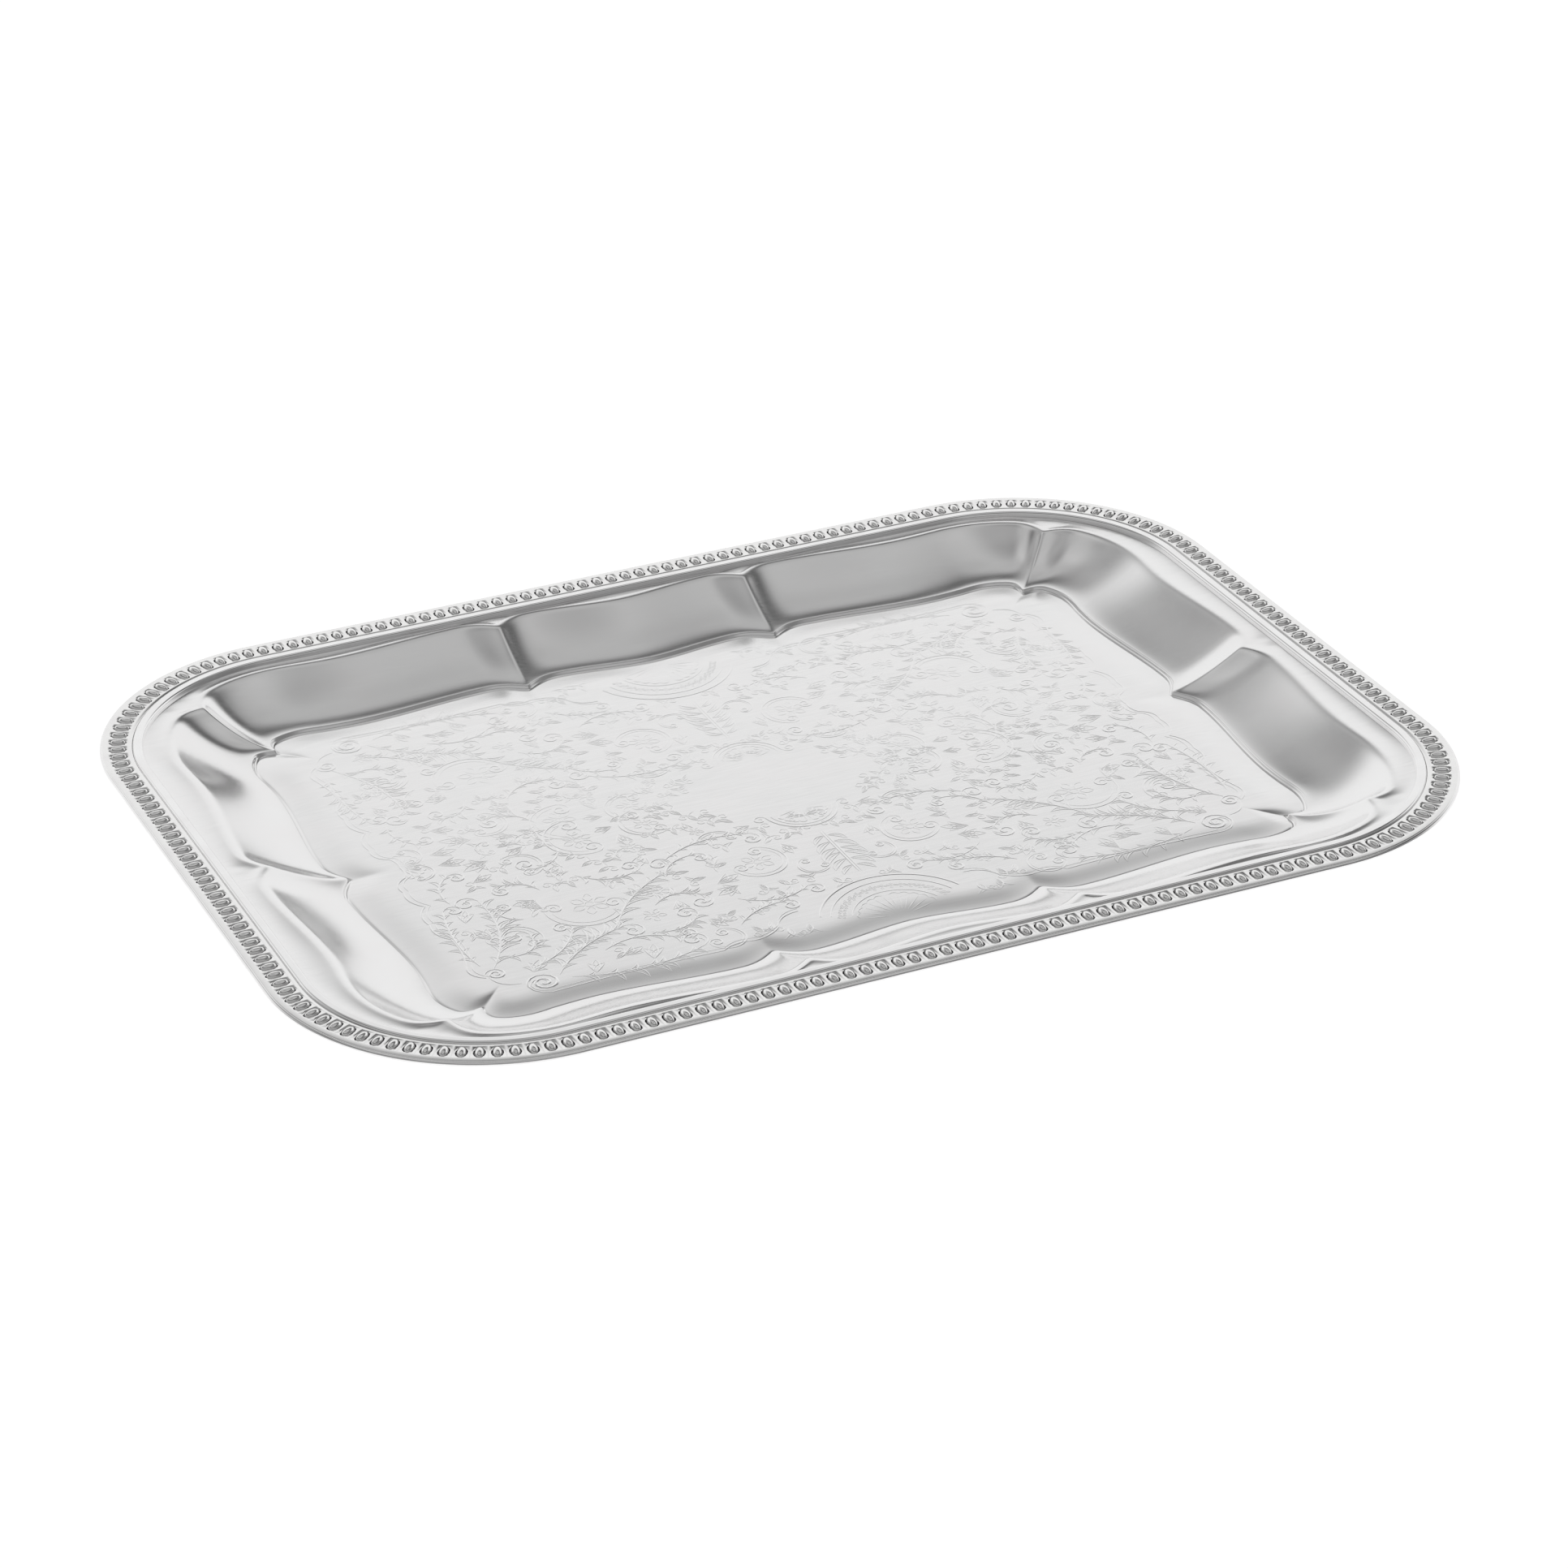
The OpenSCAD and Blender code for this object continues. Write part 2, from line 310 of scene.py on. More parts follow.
def net_of_rings():
    points, facts = [], {name: [] for name in VECTOR_FACTS + NUMBER_FACTS}
    for share, edge_in, inward, toward in rings:
        for s, sx, sy in full_walk:
            turn = stand(s)[2]
            point = on_path(mouth_a, mouth_b, mouth_r, s, sx, sy)
            gap, half_lobe = near_ridge(s)
            points.append(point)
            known = {"outward": (sx * cos(turn), sy * sin(turn), 0), "spine": (point.x * SPINE_SHARE, 0, 0),
                     "edge_point": on_path(half_l, half_w, corner_r, s, sx, sy),
                     "gap": gap, "half_lobe": half_lobe, "share": share, "toward": toward,
                     "corner": exp(-((s - ridge_corner) / CORNER_REACH) ** 2),
                     "edge_in": edge_in * MM, "inward": inward * MM}
            for name, value in known.items():
                facts[name].append(value)
    count = len(full_walk)
    faces = []
    for j in range(len(rings) - 1):
        near, far = j * count, (j + 1) * count
        faces += [(near + i, near + (i + 1) % count, far + (i + 1) % count, far + i) for i in range(count)]
    mesh = bpy.data.meshes.new("net")
    mesh.from_pydata(points, [], faces)
    for name, values in facts.items():
        if isinstance(values[0], (tuple, Vector)):
            flat = [c for v in values for c in v]
            mesh.attributes.new(name, "FLOAT_VECTOR", "POINT").data.foreach_set("vector", flat)
        else:
            mesh.attributes.new(name, "FLOAT", "POINT").data.foreach_set("value", values)
    return mesh


net = net_of_rings()
print("net:", len(net.vertices), "points in", len(rings), "rings")

# %% [markdown]
# The rule itself is Math nodes. A lobe's line comes in to a sharp cusp at a ridge, goes out to a
# hump beside it, and in again to a shallow waist at its middle. The wall falls from the mouth in a
# hollow curve, hollower near the corners, and meets the floor with a small step, with a fine groove
# along its foot where the two dies close. The wall would rise a little past the flange, and a smooth
# minimum rounds it over into the flange, which makes the soft lip. The floor's field stands half a
# millimetre proud of the track round it, as pressed floors often do to stay stiff.

# %% Tree of the pressed sheet
sheet_sizes = {
    "Seat Height": 13.6 * MM, "Floor Height": 1.0 * MM, "Field Rise": 0.5 * MM, "Field Run": 14 * MM,
    "Wall Run": WALL_RUN * MM, "Hollow": 1.45, "Corner Hollow": 1.9,
    "Step Height": 1.2 * MM, "Step Run": STEP_RUN * MM, "Groove Depth": 0.3 * MM, "Groove Width": 0.4 * MM,
    "Lip Rounding": 1.6 * MM, "Lip Rise": 0.6 * MM, "Flange Dish": 0.35 * MM, "Full Dish Width": 9 * MM,
    "Cusp": 5.2 * MM, "Waist": 3.8 * MM, "Hump Distance": 12 * MM, "Ridge Rounding": 0.9 * MM,
}


def pressed_sheet_tree(finish):
    tree, size, end = shape_tree("pressed_sheet", sheet_sizes)
    size = size.outputs
    fact = {}
    for name in VECTOR_FACTS:
        fact[name] = add(tree, "GeometryNodeInputNamedAttribute", {"data_type": "FLOAT_VECTOR"}, [name])
    for name in NUMBER_FACTS:
        fact[name] = add(tree, "GeometryNodeInputNamedAttribute", NUMBER, [name])
    # how far the scalloped line reaches in
    root = add(tree, MATH, "SQRT", [add(tree, MATH, "ADD", [
        add(tree, MATH, "MULTIPLY", [fact["gap"], fact["gap"]]),
        add(tree, MATH, "MULTIPLY", [size["Ridge Rounding"], size["Ridge Rounding"]])])])
    gap = add(tree, MATH, "SUBTRACT", [root, size["Ridge Rounding"]])
    rest = add(tree, MATH, {"operation": "SUBTRACT", "use_clamp": True},
               [1.0, add(tree, MATH, "DIVIDE", [gap, size["Hump Distance"]])])
    cusp = add(tree, MATH, "MULTIPLY", [size["Cusp"], add(tree, MATH, "MULTIPLY", [rest, rest])])
    waist = add(tree, MAP_RANGE, SMOOTH,
                {"Value": gap, "From Min": size["Hump Distance"], "From Max": fact["half_lobe"],
                 "To Min": 0.0, "To Max": size["Waist"]})
    scallop = add(tree, MATH, "ADD", [cusp, waist])
    reach = add(tree, MATH, "ADD", [fact["inward"], scallop])
    # where the point goes, seen from above
    mouth = add(tree, VECTOR, "SUBTRACT", [add(tree, "GeometryNodeInputPosition"),
                add(tree, VECTOR, "SCALE", {"Vector": fact["outward"], "Scale": reach})])
    edge = add(tree, VECTOR, "SUBTRACT", [fact["edge_point"],
               add(tree, VECTOR, "SCALE", {"Vector": fact["outward"], "Scale": fact["edge_in"]})])
    mixed = add(tree, "ShaderNodeMix", {"data_type": "VECTOR"}, {0: fact["share"], 4: mouth, 5: edge})
    flat = add(tree, "ShaderNodeMix", {"data_type": "VECTOR"},
               {0: fact["toward"], 4: mixed.outputs[1], 5: fact["spine"]})
    # its height: the hollow wall, the step at its foot, and the floor's field
    left = add(tree, MATH, {"operation": "SUBTRACT"},
               [1.0, add(tree, MATH, "DIVIDE", [fact["inward"], size["Wall Run"]])])
    above = add(tree, MATH, "MAXIMUM", [left, 0.0])
    hollow = add(tree, "ShaderNodeMix", NUMBER,
                 {0: fact["corner"], 2: size["Hollow"], 3: size["Corner Hollow"]})
    foot = add(tree, MATH, "ADD", [size["Floor Height"], size["Step Height"]])
    top = add(tree, MATH, "ADD", [size["Seat Height"], size["Lip Rise"]])
    drop = add(tree, MATH, "SUBTRACT", [top, foot])
    wall = add(tree, MATH, "MULTIPLY", [drop, add(tree, MATH, "POWER", [above, hollow])])
    step_end = add(tree, MATH, "ADD", [size["Wall Run"], size["Step Run"]])
    step = add(tree, MAP_RANGE, SMOOTH,
               {"Value": fact["inward"], "From Min": size["Wall Run"], "From Max": step_end,
                "To Min": size["Step Height"], "To Max": 0.0})
    field = add(tree, MAP_RANGE, SMOOTH, {"Value": fact["inward"], "From Min": step_end,
                 "From Max": add(tree, MATH, "ADD", [step_end, size["Field Run"]]),
                 "To Min": 0.0, "To Max": size["Field Rise"]})
    past_step = add(tree, MATH, "SUBTRACT", [fact["inward"], step_end])
    off = add(tree, MATH, "DIVIDE", [add(tree, MATH, "SUBTRACT", [past_step, size["Groove Width"]]),
                                     size["Groove Width"]])
    squared = add(tree, MATH, "MULTIPLY", [off, off])
    bell = add(tree, MATH, "EXPONENT", [add(tree, MATH, "MULTIPLY", [squared, -1.0])])
    groove = add(tree, MATH, "MULTIPLY", [bell, size["Groove Depth"]])
    track = add(tree, MATH, "SUBTRACT", [add(tree, MATH, "ADD", [step, field]), groove])
    well = add(tree, MATH, "ADD", [add(tree, MATH, "ADD", [size["Floor Height"], wall]), track])
    lipped = add(tree, MATH, "SMOOTH_MIN", [well, size["Seat Height"], size["Lip Rounding"]])
    # the flange is dished a little where it is wide
    width = add(tree, VECTOR, "DISTANCE", [mouth, edge]).outputs["Value"]
    wide = add(tree, MATH, {"operation": "DIVIDE", "use_clamp": True}, [width, size["Full Dish Width"]])
    bow = add(tree, MATH, "MULTIPLY", [fact["share"], add(tree, MATH, "SUBTRACT", [1.0, fact["share"]])])
    deep = add(tree, MATH, "MULTIPLY", [add(tree, MATH, "MULTIPLY", [wide, wide]), size["Flange Dish"]])
    dish = add(tree, MATH, "MULTIPLY", [deep, add(tree, MATH, "MULTIPLY", [bow, 4.0])])
    height = add(tree, MATH, "SUBTRACT", [lipped, dish])
    lift = add(tree, COMBINE, None, {"Z": height})
    spot = add(tree, VECTOR, "ADD", [flat.outputs[1], lift])
    placed = add(tree, SET_POSITION, None, {"Geometry": size["Geometry"], "Position": spot})
    closed = add(tree, "GeometryNodeMergeByDistance", None, {"Geometry": placed, "Distance": 0.00001})
    soft = add(tree, "GeometryNodeSetShadeSmooth", None, [closed])
    close_tree(tree, soft, finish, end)
    return tree


sheet = shaped("pressed_sheet", net, pressed_sheet_tree(satin_silver), sheet_sizes)
shell = sheet.modifiers.new("thickness", "SOLIDIFY")
shell.thickness = 1.0 * MM
shell.offset = -1
view = bpy.context.evaluated_depsgraph_get()
thick = bpy.data.meshes.new_from_object(sheet.evaluated_get(view), depsgraph=view)
sheet.modifiers.remove(shell)
sheet.data = thick
for name in VECTOR_FACTS + NUMBER_FACTS:
    if name in thick.attributes:
        thick.attributes.remove(thick.attributes[name])
for vertex in thick.vertices:
    vertex.co.z = max(vertex.co.z, 0)
zs = [v.co.z for v in thick.vertices]
print("sheet:", len(thick.polygons), "faces, heights", round(min(zs) / MM, 2), "to", round(max(zs) / MM, 2))
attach(sheet, "root")
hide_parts("tray_body")

# %% [markdown]
# Two wires follow the edge. The outer one is round and stiffens the edge from outside. The
# inner one is a half-round reed that covers the joint between the beaded border and the flange.
# Both are a section swept along a rounded rectangle, which is what Curve to Mesh is for: the path
# is a Quadrilateral with filleted corners, and the section is a circle or a closed arc.

# %% Wires swept round the edge
wire_sizes = {"Length": 0.4, "Width": 0.3, "Corner Radius": 0.07, "Corner Steps": 40, "Height": 0.0,
              "Section Radius": 1 * MM, "Section Crown": 1 * MM, "Section Start": 0.0,
              "Section Sweep": 2 * pi, "Section Steps": 16}


def swept_wire_tree(finish):
    tree, size, end = shape_tree("swept_wire", wire_sizes)
    size = size.outputs
    path = add(tree, "GeometryNodeCurvePrimitiveQuadrilateral", None,
               {"Width": size["Length"], "Height": size["Width"]})
    turned = add(tree, "GeometryNodeFilletCurve", {"mode": "POLY"},
                 {"Curve": path, "Radius": size["Corner Radius"], "Count": size["Corner Steps"]})
    lift = add(tree, COMBINE, None, {"Z": size["Height"]})
    raised = add(tree, SET_POSITION, None, {"Geometry": turned, "Offset": lift})
    upright = add(tree, "GeometryNodeSetCurveNormal", {"mode": "Z_UP"}, {"Curve": raised})
    arc = add(tree, "GeometryNodeCurveArc", None,
              {"Resolution": size["Section Steps"], "Radius": size["Section Radius"],
               "Start Angle": size["Section Start"], "Sweep Angle": size["Section Sweep"]})
    spot = add(tree, "ShaderNodeSeparateXYZ", None, [add(tree, "GeometryNodeInputPosition")]).outputs
    depth = add(tree, MATH, "MULTIPLY", [size["Section Crown"], -1.0])
    crowned = add(tree, MATH, "SMOOTH_MAX", [spot["Y"], depth, 0.35 * MM])
    pressed = add(tree, SET_POSITION, None, {"Geometry": arc, "Position": add(tree, COMBINE, None,
                                                    {"X": spot["X"], "Y": crowned, "Z": spot["Z"]})})
    section = add(tree, "GeometryNodeSetSplineCyclic", None, {"Geometry": pressed, "Cyclic": True})
    swept = add(tree, "GeometryNodeCurveToMesh", None, {"Curve": upright, "Profile Curve": section})
    soft = add(tree, "GeometryNodeSetShadeSmooth", None, [swept])
    close_tree(tree, soft, finish, end)
    return tree


def wire_piece(name, node, tree, inward, height, radius, crown, start, sweep, steps):
    sizes = {"Length": 2 * (half_l - inward), "Width": 2 * (half_w - inward),
             "Corner Radius": corner_r - inward, "Corner Steps": 40, "Height": height,
             "Section Radius": radius, "Section Crown": crown, "Section Start": start,
             "Section Sweep": sweep, "Section Steps": steps}
    piece = shaped(name, bpy.data.meshes.new("nothing"), tree, sizes)
    piece.data.set_sharp_from_angle(angle=radians(60))
    turn_outward(piece.data)
    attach(piece, "root")
    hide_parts(node)
    ends = [[round(c / MM, 2) for c in corner] for corner in piece.bound_box]
    print(name, len(piece.data.polygons), "faces", ends[0], ends[6])


def turn_outward(mesh):
    shape = bmesh.new()
    shape.from_mesh(mesh)
    bmesh.ops.recalc_face_normals(shape, faces=shape.faces)
    shape.to_mesh(mesh)
    shape.free()


wire_tree = swept_wire_tree(bright_silver)
WIRE_R, WIRE_Z = 0.85 * MM, 13.75 * MM
REED_R, REED_IN, REED_Z, SEAT_Z = 1.9 * MM, 13.1 * MM, 14.0 * MM, 13.6 * MM
sunk = atan2(REED_Z - SEAT_Z, sqrt(REED_R ** 2 - (REED_Z - SEAT_Z) ** 2))
WIRE_STEPS, REED_STEPS, REED_CROWN = 16, 27, 1.35 * MM
nearly_full = 2 * pi * (WIRE_STEPS - 1) / WIRE_STEPS
wire_piece("edge_wire", "rim_wire", wire_tree, WIRE_R, WIRE_Z, WIRE_R, 2 * WIRE_R,
           0, nearly_full, WIRE_STEPS)
wire_piece("half_round_reed", "inner_reed", wire_tree, REED_IN, REED_Z, REED_R, REED_CROWN,
           pi - sunk, pi + 2 * sunk, REED_STEPS)

# %% [markdown]
# The border is struck in lengths: a flat lip, oval pockets at a steady pitch with an egg-shaped bead
# in each, and flat webs between them. The die cuts one cell again and again, so one cell of 126
# faces is modelled and Geometry Nodes repeats it, then bends the row round for a corner.
# In the cell, x runs in from the edge, y along the border, and z up.

# %% One cell of beading
CELL_PITCH = 5.583 * MM
BEAD_IN, BED_Z, LAND_Z, CREST_Z = 6.3, 14.0, 14.9, 15.75
BEAD_RINGS = ((1.3, 0.6, CREST_Z - 0.05), (2.2, 1.1, CREST_Z - 0.32), (2.65, 1.45, CREST_Z - 0.9),
              (2.8, 1.58, BED_Z), (3.0, 1.8, BED_Z), (3.25, 2.08, LAND_Z - 0.06), (3.35, 2.2, LAND_Z))
OUTLINE = ((1.2, 14.9), (0.95, 14.87), (0.8, 14.75), (0.8, 14.3), (1.6, 13.6), (11.05, 13.6), (11.2, 13.75),
           (11.2, 14.75), (11.05, 14.9))
PATCH_HALF = 3.5


def bead_cell():
    half = CELL_PITCH / MM / 2
    third = half / 3
    frame_points = [(PATCH_HALF, third), (PATCH_HALF, half), (PATCH_HALF / 3, half)]
    frame_points += [(-x, y) for x, y in reversed(frame_points)]
    frame_points += [(-x, -y) for x, y in frame_points]
    points = [(BEAD_IN, 0, CREST_Z)]
    for across, along, z in BEAD_RINGS:
        for i in range(12):
            turn = radians(15 + 30 * i)
            points.append((BEAD_IN + across * cos(turn), along * sin(turn), z))
    points += [(BEAD_IN + x, y, LAND_Z) for x, y in frame_points]
    faces = [(0, 1 + i, 1 + (i + 1) % 12) for i in range(12)]
    for j in range(len(BEAD_RINGS)):
        near = 1 + 12 * j
        far = near + 12
        faces += [(near + i, far + i, far + (i + 1) % 12, near + (i + 1) % 12) for i in range(12)]
    frame_start = 1 + 12 * len(BEAD_RINGS)
    outer = [frame_start + i for i in (4, 5, 6, 7)]
    inner = [frame_start + i for i in (1, 0, 11, 10)]
    previous = outer
    for x, z in OUTLINE:
        row = list(range(len(points), len(points) + 4))
        points += [(x, y, z) for y in (half, third, -third, -half)]
        faces += [(previous[k], row[k], row[k + 1], previous[k + 1]) for k in range(3)]
        previous = row
    faces += [(previous[k], inner[k], inner[k + 1], previous[k + 1]) for k in range(3)]
    mesh = bpy.data.meshes.new("bead_cell")
    mesh.from_pydata([Vector(p) * MM for p in points], [], faces)
    return mesh


cell = bead_cell()
print("bead cell:", len(cell.polygons), "faces")

# %% [markdown]
# The cells are set in a row, welded together, and then either stretched to a straight length or bent
# through a quarter turn. A point's share of the row says how far along or how far round it goes.

# %% Tree of a beaded length
strip_sizes = {"Count": 10, "Cell Pitch": CELL_PITCH, "Length": 0.1, "Reach": 0.2, "Bend Radius": corner_r,
               "Bent": 0.0, "Turned": 0.0, "Centre X": 0.0, "Centre Y": 0.0}


def beaded_strip_tree(finish):
    tree, size, end = shape_tree("beaded_strip", strip_sizes)
    size = size.outputs
    span = add(tree, MATH, "MULTIPLY", [size["Count"], size["Cell Pitch"]])
    half = add(tree, MATH, "MULTIPLY", [add(tree, MATH, "SUBTRACT", [size["Cell Pitch"], span]), 0.5])
    row = add(tree, "GeometryNodeMeshLine", None,
              {"Count": size["Count"], "Start Location": add(tree, COMBINE, None, {"Y": half}),
               "Offset": add(tree, COMBINE, None, {"Y": size["Cell Pitch"]})})
    cells = add(tree, "GeometryNodeInstanceOnPoints", None, {"Points": row, "Instance": size["Geometry"]})
    joined = add(tree, "GeometryNodeMergeByDistance", None,
                 {"Geometry": add(tree, "GeometryNodeRealizeInstances", None, [cells]), "Distance": 0.00001})
    spot = add(tree, "ShaderNodeSeparateXYZ", None, [add(tree, "GeometryNodeInputPosition")]).outputs
    share = add(tree, MATH, "DIVIDE", [spot["Y"], span])
    straight = add(tree, COMBINE, None, {"X": add(tree, MATH, "SUBTRACT", [size["Reach"], spot["X"]]),
                    "Y": add(tree, MATH, "MULTIPLY", [share, size["Length"]]), "Z": spot["Z"]})
    angle = add(tree, MATH, "MULTIPLY_ADD", [share, pi / 2, pi / 4])
    arm = add(tree, MATH, "SUBTRACT", [size["Bend Radius"], spot["X"]])
    bent = add(tree, COMBINE, None,
               {"X": add(tree, MATH, "MULTIPLY", [arm, add(tree, MATH, "COSINE", [angle])]),
                "Y": add(tree, MATH, "MULTIPLY", [arm, add(tree, MATH, "SINE", [angle])]), "Z": spot["Z"]})
    chosen = add(tree, "ShaderNodeMix", {"data_type": "VECTOR"}, {0: size["Bent"], 4: straight, 5: bent})
    laid = add(tree, SET_POSITION, None, {"Geometry": joined, "Position": chosen.outputs[1]})
    centre = add(tree, COMBINE, None, {"X": size["Centre X"], "Y": size["Centre Y"]})
    turn = add(tree, COMBINE, None, {"Z": size["Turned"]})
    moved = add(tree, "GeometryNodeTransform", None,
                {"Geometry": laid, "Translation": centre, "Rotation": turn})
    soft = add(tree, "GeometryNodeSetShadeSmooth", None, [moved])
    close_tree(tree, soft, finish, end)
    return tree


# %% [markdown]
# Four straight lengths and four quarter turns butt end to end, each a piece of its own, as a maker
# would solder them on. The cut ends are closed, so that each length is a solid strip.

# %% Eight beaded lengths
strip_tree = beaded_strip_tree(struck_silver)
run_long, run_short = half_l - corner_r, half_w - corner_r
SIDES = {"right": (0, 28, run_short, half_l), "back": (1, 48, run_long, half_w),
         "left": (2, 28, run_short, half_l), "front": (3, 48, run_long, half_w)}
CORNERS = {"back_right": (0, 1, 1), "back_left": (1, -1, 1),
           "front_left": (2, -1, -1), "front_right": (3, 1, -1)}


def strip_piece(name, node, sizes):
    piece = shaped(name, cell.copy(), strip_tree, {"Cell Pitch": CELL_PITCH, **sizes})
    shape = bmesh.new()
    shape.from_mesh(piece.data)
    ends = [edge for edge in shape.edges if edge.is_boundary]
    bmesh.ops.holes_fill(shape, edges=ends)
    bmesh.ops.recalc_face_normals(shape, faces=shape.faces)
    open_edges = sum(edge.is_boundary for edge in shape.edges)
    shape.to_mesh(piece.data)
    shape.free()
    piece.data.set_sharp_from_angle(angle=radians(65))
    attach(piece, "root")
    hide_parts(node)
    print(name, len(piece.data.polygons), "faces,", open_edges, "open edges")


for side, (quarter, count, run, reach) in SIDES.items():
    strip_piece("beaded_" + side, "border_" + side,
                {"Count": count, "Length": 2 * run, "Reach": reach, "Turned": quarter * pi / 2})
for corner, (quarter, sx, sy) in CORNERS.items():
    strip_piece("beaded_" + corner, "corner_" + corner,
                {"Count": 20, "Bent": 1.0, "Bend Radius": corner_r, "Turned": quarter * pi / 2,
                 "Centre X": sx * run_long, "Centre Y": sy * run_short})

# %% [markdown]
# The floor carries scrollwork: a double border line, leafy stems that spring from a curl in each
# corner, C-scrolls with small flowers, a shell and an arch on each long side, and a plain space in
# the middle for initials. On a pressed tray it is raised by the same die as the flutes, less than
# a tenth of a millimetre high. It is drawn here as strokes, one quarter of the floor in plain
# millimetres, and mirrored. A stroke is a chain of points with a width at each.

# %% Strokes of the scrollwork
strokes = []


def stroke(points, width=0.6, taper=0.4):
    """Keeps a line of (x, y) points, thinned towards both ends."""
    last = len(points) - 1
    strokes.append([(x, y, width * (taper + (1 - taper) * abs(sin(pi * i / last)) ** 0.6))
                    for i, (x, y) in enumerate(points)])


def arc(start, end, bulge, steps=6):
    """A bowed line between two points. The bulge is a share of its length, to its left."""
    (x0, y0), (x1, y1) = start, end
    mid_x, mid_y = (x0 + x1) / 2 - (y1 - y0) * bulge * 2, (y0 + y1) / 2 + (x1 - x0) * bulge * 2
    line = []
    for i in range(steps + 1):
        t = i / steps
        a, b, c = (1 - t) ** 2, 2 * t * (1 - t), t * t
        line.append((a * x0 + b * mid_x + c * x1, a * y0 + b * mid_y + c * y1))
    return line


def ring(centre, radius, first, last, step=9):
    """Part of a circle, from one angle to another in degrees."""
    count = max(3, int(abs(last - first) / step))
    turns = [radians(first + (last - first) * i / count) for i in range(count + 1)]
    return [(centre[0] + radius * cos(a), centre[1] + radius * sin(a)) for a in turns]


def heading(line, i):
    (x0, y0), (x1, y1) = line[max(i - 1, 0)], line[min(i + 1, len(line) - 1)]
    return atan2(y1 - y0, x1 - x0)


def curl(end, way, side, radius, turns=1.5, inner=0.6):
    """A spiral that carries on from a line's end and winds in to its left, or right for -1."""
    centre = (end[0] - side * radius * sin(way), end[1] + side * radius * cos(way))
    count = int(turns * 13)
    line = []
    for i in range(count + 1):
        r = radius + (inner - radius) * (i / count) ** 0.85
        angle = way - side * pi / 2 + side * 2 * pi * turns * i / count
        line.append((centre[0] + r * cos(angle), centre[1] + r * sin(angle)))
    return line


def leaf(root, way, length, bend=0.2, fat=0.15, width=0.5):
    """A pointed leaf: two bowed sides, and a midrib if there is room for one."""
    tip = (root[0] + length * cos(way), root[1] + length * sin(way))
    stroke(arc(root, tip, bend + fat), width)
    stroke(arc(root, tip, bend - fat), width)
    if length > 6:
        stroke(arc(root, tip, bend, 4)[:-1], width * 0.7)


def sprig(root, toward, length, lobes=3, spread=34, width=0.5):
    """Leaves that fan out from one point, the middle one longest."""
    for k in range(lobes):
        off = k - (lobes - 1) / 2
        leaf(root, radians(toward + spread * off), length * (1 - 0.2 * abs(off)), -0.14 * off, 0.16, width)


def vine(start, end, bulge, side, radius, length, leaves, width=0.9):
    """A stem that ends in a curl on one side, with long leaves on the other and short ones inside."""
    line = arc(start, end, bulge, 14)
    stroke(line, width)
    way = heading(line, 14)
    stroke(curl(end, way, side, radius), width)
    stroke(curl(end, way, side, radius * 0.72, 0.6), width * 0.6)
    for k in range(leaves):
        i = 1 + round(k * 11 / max(leaves - 1, 1))
        grown = length * (0.62 + 0.38 * sin(pi * (k + 0.6) / leaves))
        leaf(line[i], heading(line, i) - side * radians(40), grown, side * 0.24, 0.11, 0.7)
        leaf(line[i], heading(line, i) + side * radians(34), grown * 0.7, -side * 0.24, 0.12, 0.6)


def tendril(root, way, length, side, width=0.7):
    """A bowed shoot that ends in a curl, with one long leaf beside it."""
    tip = (root[0] + length * cos(way), root[1] + length * sin(way))
    line = arc(root, tip, -side * 0.24, 8)
    stroke(line, width)
    stroke(curl(tip, heading(line, 8), side, 1.7, 1.1), width * 0.8)
    leaf(root, way - side * 0.75, length * 1.1, side * 0.28, 0.11, width * 0.8)


def half_fern(spine, count, length, lean=40, width=0.6):
    """Hooked fronds to the right of a stem. The mirrored quarter adds the left ones."""
    stroke(spine, width * 1.3)
    last = len(spine) - 1
    for k in range(1, count + 1):
        i = min(int(k / (count + 1) * last), last - 1)
        grown = length * (0.55 + 0.6 * sin(pi * k / (count + 1)))
        leaf(spine[i], heading(spine, i) - radians(lean), grown, -0.16, 0.13, width)


def flower(centre, radius, petals=5, width=0.45):
    x, y = centre
    stroke(ring(centre, radius * 0.26, 0, 360, 60), width)
    for k in range(petals):
        way = 2 * pi * k / petals + 0.3
        root = (x + radius * 0.3 * cos(way), y + radius * 0.3 * sin(way))
        leaf(root, way, radius * 0.75, 0, 0.32, width)


def shell(centre, radius, first, last, ribs, inner=0.3, width=0.55):
    """Ribs that spread from a point, with a scalloped edge over their tips."""
    x, y = centre
    for k in range(ribs + 1):
        way = radians(first + (last - first) * k / ribs)
        stroke([(x + radius * f * cos(way), y + radius * f * sin(way)) for f in (inner, 0.6, 0.92)], width)
        if k < ribs:
            after = radians(first + (last - first) * (k + 1) / ribs)
            ends = [(x + radius * cos(a), y + radius * sin(a)) for a in (way, after)]
            stroke(arc(ends[0], ends[1], -0.3, 5), width)


def c_scroll(centre, radius, first, last, end_radius, width=0.75):
    """An open ring, drawn double, that curls in at both ends."""
    stroke(ring(centre, radius, first, last), width)
    stroke(ring(centre, radius * 0.84, first + 12, last - 12), width * 0.6)
    line, back = ring(centre, radius, first, last), ring(centre, radius, last, first)
    stroke(curl(line[-1], heading(line, len(line) - 1), 1, end_radius), width)
    stroke(curl(back[-1], heading(back, len(back) - 1), -1, end_radius), width)


# %% [markdown]
# The pattern itself is a list of such strokes, in millimetres out from the middle of the tray, for
# the quarter where both are above zero. The biggest scrolls come first, and leaves fill round them.

